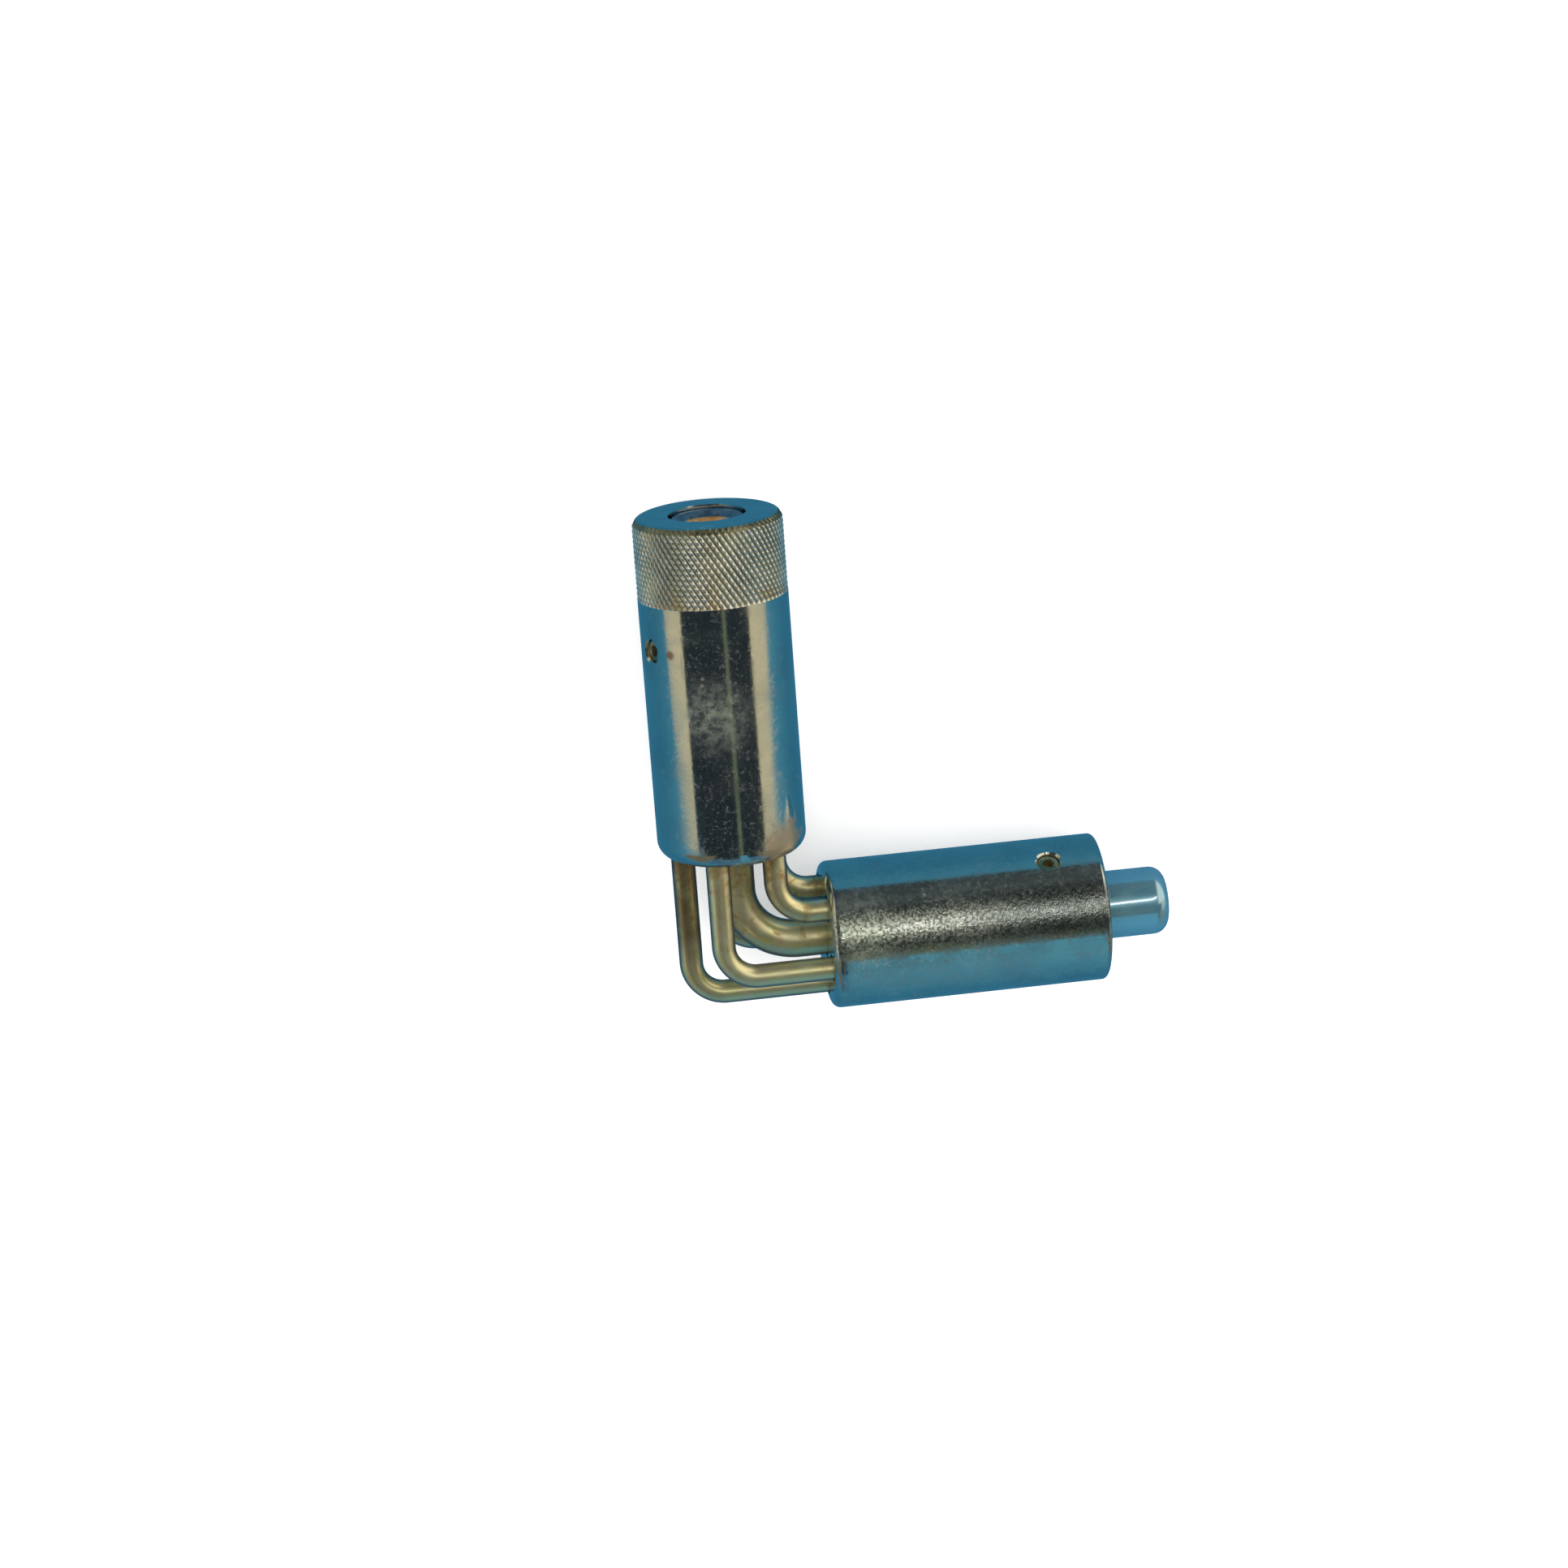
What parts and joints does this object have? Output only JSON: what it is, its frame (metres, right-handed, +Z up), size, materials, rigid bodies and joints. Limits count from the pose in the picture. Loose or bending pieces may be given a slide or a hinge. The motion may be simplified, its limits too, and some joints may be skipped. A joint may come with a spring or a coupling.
{
  "type": "right-angle drill attachment",
  "caption": "Right-angle drive for a drill: a shanked barrel and a knurled bit-holder barrel joined square by sliding bent steel pins.",
  "frame": {"origin": "under the middle of the part, on the surface that both barrels lie on", "axes": "+X out along the input barrel and its shank, +Y out along the output barrel and its bit socket, +Z up, square to both"},
  "size_m": [0.0708, 0.072, 0.0206],
  "materials": {
    "plated_steel": "bright grey plating, mottled and lightly scratched",
    "gold_zinc_steel": "smooth yellow zinc with brown stains",
    "hardened_steel": "dark with a golden tint",
    "magnet_nickel": "nickel plated",
    "screw_steel": "brassy, dull"
  },
  "bodies": {
    "elbow": {"core_pin": "gold_zinc_steel"},
    "input": {"input_barrel": "plated_steel", "drive_shank": "plated_steel", "input_set_screw": "screw_steel"},
    "output": {"output_barrel": "plated_steel", "bit_socket": "hardened_steel", "bit_magnet": "magnet_nickel", "output_set_screw": "screw_steel"},
    "pin_1": {"drive_pin_1": "gold_zinc_steel"},
    "pin_2": {"drive_pin_2": "gold_zinc_steel"},
    "pin_3": {"drive_pin_3": "gold_zinc_steel"},
    "pin_4": {"drive_pin_4": "gold_zinc_steel"},
    "pin_5": {"drive_pin_5": "gold_zinc_steel"}
  },
  "joints": [
    {"name": "input_spin", "type": "hinge", "parent": "elbow", "child": "input", "pos_m": [-0.02504, -0.02563, 0.01032], "axis": [1, 0, 0], "range_deg": [-12, 12]},
    {"name": "output_spin", "type": "hinge", "parent": "elbow", "child": "output", "pos_m": [-0.02504, -0.02563, 0.01032], "axis": [0, 1, 0], "range_deg": [-12, 12]},
    {"name": "pin_1_shift", "type": "slide", "parent": "elbow", "child": "pin_1", "axis": [-0.5569, -0.5569, 0.6163], "range_m": [-0.00176, 0.00176]},
    {"name": "pin_2_shift", "type": "slide", "parent": "elbow", "child": "pin_2", "axis": [-0.6742, -0.6742, -0.3016], "range_m": [-0.00198, 0.00198]},
    {"name": "pin_3_shift", "type": "slide", "parent": "elbow", "child": "pin_3", "axis": [0.1057, 0.1057, -0.9888], "range_m": [-0.00147, 0.00147]},
    {"name": "pin_4_shift", "type": "slide", "parent": "elbow", "child": "pin_4", "axis": [0.6994, 0.6994, -0.1474], "range_m": [-0.00205, 0.00205]},
    {"name": "pin_5_shift", "type": "slide", "parent": "elbow", "child": "pin_5", "axis": [0.4461, 0.4461, 0.7758], "range_m": [-0.00163, 0.00163]}
  ],
  "couplings": [
    {"joint": "output_spin", "follows": "input_spin", "ratio": -1},
    {"joint": "pin_1_shift", "follows": "input_spin", "m_per_rad": 0.0084035},
    {"joint": "pin_2_shift", "follows": "input_spin", "m_per_rad": 0.0094508},
    {"joint": "pin_3_shift", "follows": "input_spin", "m_per_rad": 0.0070193},
    {"joint": "pin_4_shift", "follows": "input_spin", "m_per_rad": 0.0097657},
    {"joint": "pin_5_shift", "follows": "input_spin", "m_per_rad": 0.0077992}
  ]
}
